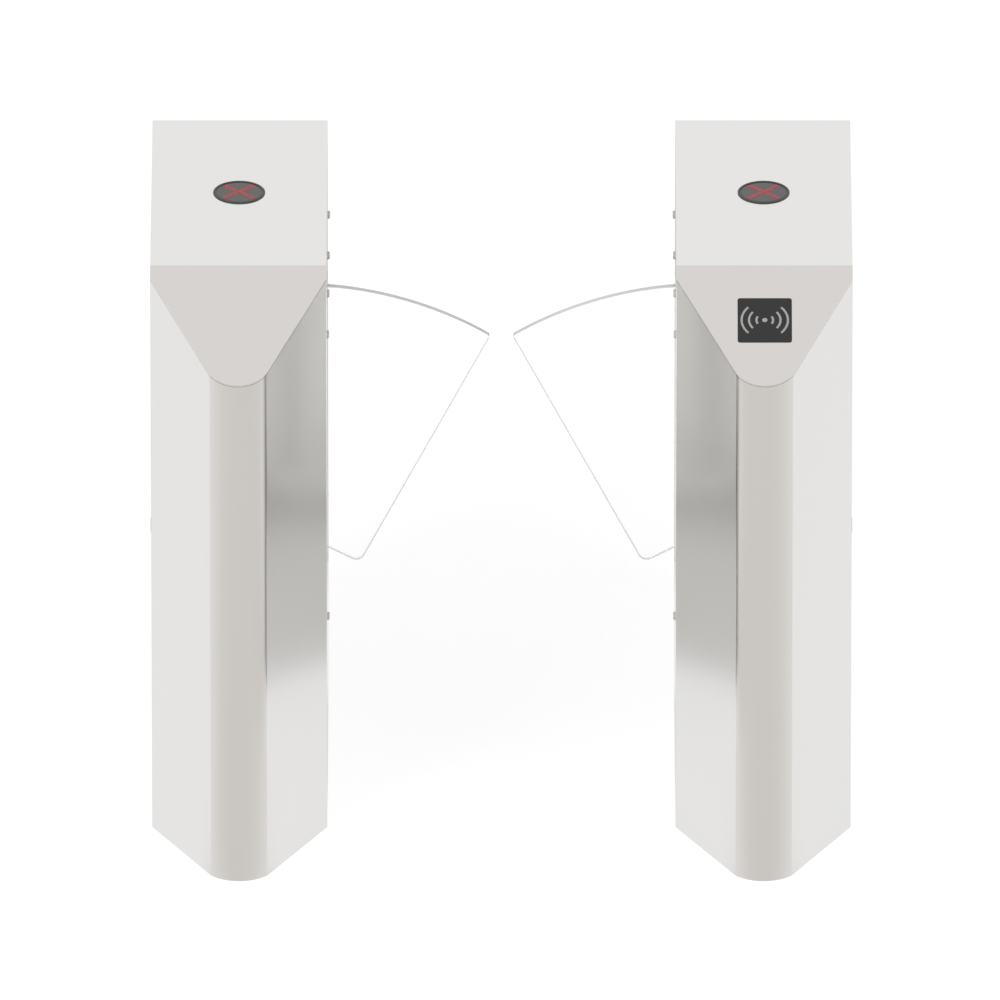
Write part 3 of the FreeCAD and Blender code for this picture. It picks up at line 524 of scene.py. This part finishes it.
def bearing_screws(sign):
    spots = []
    for end, facing in ((-1, TO_FRONT), (1, TO_REAR)):
        for x in (PIVOT_X - 0.031, PIVOT_X + 0.027):
            for z in (PIVOT_Z - 0.031, PIVOT_Z + 0.031):
                spots.append(spot(sign, (x, end * BEARING_FACE, z), facing))
    return spots


def foot_screws(sign):
    places = [(x, y, DRIVE_FOOT_TOP) for x in (-0.076, 0.110) for y in (-0.082, 0.082)]
    return [spot(sign, place, UPWARD) for place in places]


def drive_screws(sign):
    return bearing_screws(sign) + foot_screws(sign)


def motor_screws(sign):
    circle = 0.0345
    spots = []
    for angle in (45, 135, 225, 315):
        x = PINION_X + circle * math.cos(math.radians(angle))
        z = PIVOT_Z + circle * math.sin(math.radians(angle))
        spots.append(spot(sign, (x, MOTOR_FLANGE, z), TO_REAR))
    return spots


def plate_screws(sign):
    places = [(PLATE_FACE, y, 0.395) for y in (-0.245, -0.115)]
    places += [(BOARD_FACE, y, z) for y in (-0.243, -0.117) for z in (0.593, 0.783)]
    return [spot(sign, place, TO_DOOR) for place in places]


def equipment_screws(sign):
    return motor_screws(sign) + plate_screws(sign)


def wing_bolt_sockets(sign):
    """Spots on the clamp bolts' heads, with the wing across the lane."""
    panel_bolts = [(x, z) for x in (-0.172, -0.134, -0.096) for z in (0.147, 0.185)]
    web_bolts = [(-0.030, 0.096), (-0.090, 0.096)]
    spots = []
    for x, z in panel_bolts + web_bolts:
        across = PIVOT_X + x * math.cos(WING_TURN) + z * math.sin(WING_TURN)
        up = PIVOT_Z - x * math.sin(WING_TURN) + z * math.cos(WING_TURN)
        spots.append(spot(sign, (across, BOLT_HEAD_FACE, up), TO_FRONT))
    return spots


def vent_shade_spots(sign):
    """Rows of round vents, every other row half a pitch along, each a flat near-black disc of
    painted shade for the hole.
    """
    rows, columns = 18, 13
    middle, lowest = -0.180, 0.440
    pitch, rise = 0.0062, 0.0056
    spots = []
    for row in range(rows):
        for column in range(columns):
            y = middle + (column - columns // 2) * pitch + (row % 2) * pitch / 2
            spots.append(spot(sign, (SUPPLY_FACE, y, lowest + row * rise), TO_DOOR))
    return spots


def diode_spots(sign):
    """One diode in the indicator's middle and five along each arm of the cross."""
    level = LID_HEIGHT + 0.00115
    pitch = 0.0064
    spots = [spot(sign, (0, 0, level), UPWARD)]
    for angle in (45, 135, 225, 315):
        heading = math.radians(angle)
        for step in range(1, 6):
            reach = step * pitch
            place = (reach * math.cos(heading), reach * math.sin(heading), level)
            spots.append(spot(sign, place, UPWARD))
    return spots


def board_block(sign, y, z, extent):
    """A block standing on the control board, as its middle and its extent."""
    return lane_place(sign, (BOARD_FACE - extent[0] / 2, y, z)), Vector(extent)


def board_columns():
    return [BOARD_START + BOARD_PITCH * (column + 0.5) for column in range(6)]


PLUG_ROW = 0.595
TERMINAL_ROW = 0.597
RELAY_ROW = 0.6995
PLUG_EXTENT = (0.0163, 0.0177, 0.0166)
RELAY_EXTENT = (0.0123, 0.0142, 0.0234)
RESISTOR_EXTENT = (0.0009, 0.0034, 0.0017)
KEY_SLOT_SHADE_EXTENT = (0.0010, 0.00116, 0.0069)


def plug_blocks(sign):
    return [board_block(sign, y, PLUG_ROW, PLUG_EXTENT) for y in board_columns()]


def terminal_screws(sign):
    level = BOARD_FACE - PLUG_EXTENT[0]
    steps = (-0.0042, 0.0042)
    places = [(level, y + step, TERMINAL_ROW) for y in board_columns() for step in steps]
    return [spot(sign, place, TO_DOOR) for place in places]


def relay_blocks(sign):
    return [board_block(sign, y, RELAY_ROW, RELAY_EXTENT) for y in board_columns()]


def chip_blocks(sign):
    """Four chips and four rows of small resistors."""
    chips = ((-0.212, 0.645, (0.0022, 0.024, 0.024)),
             (-0.160, 0.645, (0.0026, 0.011, 0.026)),
             (-0.218, 0.747, (0.0022, 0.016, 0.022)),
             (-0.178, 0.747, (0.0030, 0.028, 0.009)))
    spots = [board_block(sign, *chip) for chip in chips]
    first, pitch = -0.236, 0.0082
    for z in (0.618, 0.672, 0.724, 0.770):
        for column in range(11):
            spots.append(board_block(sign, first + column * pitch, z, RESISTOR_EXTENT))
    return spots


def capacitor_spots(sign):
    return [spot(sign, (BOARD_FACE, -0.134, 0.766), TO_DOOR)]


def key_slot_shade(sign):
    """Painted shade: a near-black block for the shaded floor of the slot in the lock's cylinder.
    """
    return [(lane_place(sign, KEY_SLOT), Vector(KEY_SLOT_SHADE_EXTENT))]


def screw(radius, height, socket_radius, sides=6, head=machined, inside=hole_shade):
    return {"Head Radius": radius, "Head Height": height, "Socket Radius": socket_radius,
            "Socket Sides": sides, "Head Finish": head, "Socket Finish": inside}


def dome(radius, flatness, sides, finish):
    return {"Dome Radius": radius, "Dome Flatness": flatness, "Sides": sides,
            "Dome Finish": finish}


def block(finish):
    return {"Block Finish": finish}


for side, sign in SIDES.items():
    set_on_spots(side + "_clamp_bolt_sockets", side + "_wing", screw_heads,
                 wing_bolt_sockets(sign), screw(0.0056, 0.0004, 0.0036))
    set_on_spots(side + "_key_slot", side + "_lock", blocks,
                 key_slot_shade(sign), block(hole_shade))

capacitor = screw(0.0083, 0.0243, 0.0068, 20, sleeve, bare_aluminium)
fittings = (
    ("drive_screws", "machined_steel", screw_heads, drive_screws, screw(0.0058, 0.0055, 0.0032)),
    ("equipment_screws", "machined_steel", screw_heads, equipment_screws,
     screw(0.0028, 0.0025, 0.0016)),
    ("terminal_screws", "machined_steel", screw_heads, terminal_screws,
     screw(0.0026, 0.0004, 0.0013, 4)),
    ("board_capacitors", "dark_plastic", screw_heads, capacitor_spots, capacitor),
    ("board_plugs", "sensor_grey", blocks, plug_blocks, block(plug_plastic)),
    ("board_relays", "dark_plastic", blocks, relay_blocks, block(sleeve)),
    ("board_chips", "dark_plastic", blocks, chip_blocks, block(chip_plastic)),
    ("supply_vent_shade", "dark_plastic", domes, vent_shade_spots, dome(0.0019, 0.04, 8, hole_shade)),
    ("indicator_diodes", "red_light", domes, diode_spots, dome(0.0023, 0.26, 12, diode)),
)
for name, slot, sheet, spots, sizes in fittings:
    on_both = spots(SIDES["left"]) + spots(SIDES["right"])
    set_on_spots(name, "cabinets", sheet, on_both, sizes)


def wave_outline(radius, stroke, spread, steps):
    """Points round one curved stroke of the reader's sign, about the sign's middle."""
    inner = []
    outer = []
    for step in range(steps + 1):
        angle = math.radians(spread) * (2 * step / steps - 1)
        for points, reach in ((inner, radius - stroke / 2), (outer, radius + stroke / 2)):
            points.append((reach * math.cos(angle), reach * math.sin(angle)))
    return outer + inner[::-1]


def dot_outline(radius, sides):
    angles = [math.tau * k / sides for k in range(sides)]
    return [(radius * math.cos(angle), radius * math.sin(angle)) for angle in angles]


def reader_sign():
    """Printed dot with three waves to each side, just above the reader's window."""
    dot = dot_outline(0.0042, 24)
    outlines = [dot]
    for radius, spread in ((0.0132, 34), (0.0250, 41), (0.0368, 45)):
        wave = wave_outline(radius, 0.0034, spread, 14)
        outlines += [wave, [(-x, -y) for x, y in wave]]
    tilt = Matrix.Rotation(math.atan2(SLOPE_DROP, SLOPE_RUN), 4, "X")
    fold = Vector((PEDESTAL_X, FRONT_FOLD, LID_HEIGHT))
    underside, upper_side = 0.00084, 0.00096
    points = []
    faces = []
    for outline in outlines:
        count = len(outline)
        low = range(len(points), len(points) + count)
        top = range(len(points) + count, len(points) + 2 * count)
        for height in (underside, upper_side):
            for x, y in outline:
                points.append(fold + tilt @ Vector((x, y - READER_SETBACK, height)))
        strip = [(k, k + 1, count - 2 - k, count - 1 - k) for k in range(count // 2 - 1)]
        for cap in [range(count)] if outline is dot else strip:
            faces.append([top[k] for k in cap])
            faces.append([low[k] for k in reversed(cap)])
        for k in range(count):
            after = (k + 1) % count
            faces.append([low[k], low[after], top[after], top[k]])
    mesh = bpy.data.meshes.new("reader_sign")
    mesh.from_pydata(points, [], faces)
    mesh.materials.append(print_ink)
    piece = stand_in_scene("reader_sign", mesh)
    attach(piece, "cabinets")


reader_sign()


def ray_kinds(sheet):
    """Marks the rays from the camera or through clear material, and the others off a gloss."""
    kinds = ("Is Camera Ray", "Is Transmission Ray", "Is Glossy Ray")
    camera, clear, glossy = (sheet.node("ShaderNodeLightPath", output=kind) for kind in kinds)
    direct = camera + clear - camera * clear
    return direct, glossy * (1 - direct)


# Where the floor's painted shade changes in reflections: each pair is where a change begins
# and ends, out from the lane's middle or along the lane.
FOOT_SHADE_INSIDE = (0.19, 0.27)
FOOT_SHADE_OUTSIDE = (0.50, 0.56)
FOOT_SHADE_LENGTH = (0.12, 0.24)
SHADE_STREAK_START = (0.53, 0.56)
SHADE_STREAK_END = (0.635, 0.665)
FAR_ROWS = (0.70, 0.80)
LANE_MOUTH = (-0.5, -0.28)
LANE_WALLS = (0.36, 0.50)
LANE_MIDDLE = (0.22, 0.36)


def floor_once(finish, out, along):
    """The floor in a first reflection: a painted darker, warmer reflection before both ends, and
    a painted contact shadow, grey at the feet.
    """
    front_gain, rear_gain, falloff = 0.64, 1.6, 1.5
    beside = out - PEDESTAL_X

    def turned(gap, gain):
        """0 straight before an end, and more the further to its side."""
        return (1 - gap / (beside * beside + gap * gap) ** 0.5) * gain

    front = turned(NOSE_Y - along, front_gain)
    rear = turned(NOSE_Y + along, rear_gain)
    side = front.lower(rear) ** falloff
    # Painted contact shadow at the pedestals' feet, and a painted darker reflection before both
    # ends.
    across_foot_shade = finish.band(out, *FOOT_SHADE_INSIDE) * (1 - finish.band(out, *FOOT_SHADE_OUTSIDE))
    foot_shade = across_foot_shade * (1 - finish.band(abs(along), *FOOT_SHADE_LENGTH))
    shade_before_ends = (0.630, 0.602, 0.585)
    open_floor = finish.tones(side, shade_before_ends, grey(0.856))
    return finish.tones(foot_shade, open_floor, grey(0.62))


def floor_twice(finish, out, along):
    """The floor in a second reflection: painted shade, one dark band, and dark in the lane's
    mouth, darker near than far.
    """
    slant = 1.55
    row = abs(along) + slant * out
    # Painted shade standing in for the contact shadow by the pedestals' feet.
    shade_streak = finish.band(row, *SHADE_STREAK_START) * (1 - finish.band(row, *SHADE_STREAK_END))
    rows = finish.tones(finish.band(row, *FAR_ROWS), grey(0.71), grey(0.78))
    mouth = (1 - finish.band(along, *LANE_MOUTH)) * (1 - finish.band(out, *LANE_WALLS))
    streaked = finish.tones(shade_streak, rows, grey(0.12))
    return finish.tones(mouth, streaked, grey(0.0))


def floor_thrice(finish, along):
    """The floor in a third reflection: painted shade, dark in the lane's middle, light towards
    its ends.
    """
    return finish.tones(finish.band(abs(along), *LANE_MIDDLE), grey(0.16), grey(0.98))


def studio_floor():
    """White to the eye, with its shadow; in reflections it carries painted shade that changes
    with its place.
    """
    finish = Finish("white studio floor")
    across, along = finish.axes("XY")
    out = abs(across)
    direct, glossy = ray_kinds(finish)
    bounces = finish.node("ShaderNodeLightPath", output="Glossy Depth")
    second = finish.band(bounces, 1.2, 1.8)
    third = finish.band(bounces, 2.2, 2.8)
    twice = finish.tones(third, floor_twice(finish, out, along), floor_thrice(finish, along))
    mirrored = finish.tones(second, floor_once(finish, out, along), twice)
    glow = finish.tones(glossy, grey(1.0), mirrored)
    paper = finish.tones(finish.noise(3.0), grey(0.86), grey(0.90))
    lit = finish.node("ShaderNodeBsdfDiffuse", {}, {"Color": paper}, "BSDF")
    white = finish.node("ShaderNodeEmission", {}, {"Color": glow, "Strength": 1.1}, "Emission")
    direct_share, glossy_share = 0.78, 0.95
    finish.blend(direct * direct_share + glossy * glossy_share, lit, white)
    reach = 60.0
    level = -0.0004
    corners = [(x * reach, y * reach, level) for x, y in ((-1, -1), (1, -1), (1, 1), (-1, 1))]
    mesh = bpy.data.meshes.new("studio_floor")
    mesh.from_pydata(corners, [], [(0, 1, 2, 3)])
    mesh.materials.append(finish.material)
    floor = stand_in_scene("studio_floor", mesh)


def studio_air():
    """White all round, duller and warmer overhead in reflections, softer where it only lights."""
    world = bpy.data.worlds.new("studio air")
    world.use_nodes = True
    bpy.context.scene.world = world
    sheet = Sheet(world.node_tree)
    heading = sheet.node("ShaderNodeTexCoord", output="Generated")
    up = sheet.node("ShaderNodeSeparateXYZ", {}, {"Vector": heading}, "Z")
    overhead = sheet.band(up, 0.45, 0.95)
    direct, glossy = ray_kinds(sheet)
    mirrored = sheet.tones(overhead, grey(0.946), (0.821, 0.794, 0.785))
    lighting = sheet.tones(direct, grey(0.68), grey(1.0))
    colour = sheet.tones(glossy, lighting, mirrored)
    sockets = {"Color": colour, "Strength": 1.0}
    back = sheet.node("ShaderNodeBackground", {}, sockets, "Background")
    sheet.node("ShaderNodeOutputWorld", {}, {"Surface": back})


def soft_lamp(name, place, power):
    """Round lamp that lights the object but doesn't show in its gloss."""
    lamp = bpy.data.lights.new(name, "AREA")
    lamp.shape = "DISK"
    lamp.size = 2.6
    lamp.energy = power
    stand = stand_in_scene(name, lamp)
    stand.visible_glossy = False
    stand.location = place
    aim = Vector((0, 0, 0.4))
    stand.rotation_euler = (aim - stand.location).to_track_quat("-Z", "Y").to_euler()


def photo_camera():
    """Long lens, so the sides stay nearly parallel, looking down at 25.5 degrees."""
    lens = bpy.data.cameras.new("photo_camera")
    lens.sensor_width = 36.0
    lens.lens = 1600.0
    lens.clip_end = 400.0
    frame_width = 1.5995
    distance = frame_width * lens.lens / lens.sensor_width
    down = math.radians(25.5)
    aim = Vector((-0.0022, 0, 0.4370))
    back = Vector((0, -math.cos(down), math.sin(down)))
    stand = stand_in_scene("photo_camera", lens)
    stand.location = aim + back * distance
    stand.rotation_euler = (-back).to_track_quat("-Z", "Y").to_euler()
    bpy.context.scene.camera = stand


studio_floor()
studio_air()
soft_lamp("key_lamp", (-3.2, -3.4, 3.0), 210.0)
soft_lamp("fill_lamp", (3.6, -3.0, 2.6), 130.0)
photo_camera()
bpy.context.scene.view_settings.view_transform = "Standard"
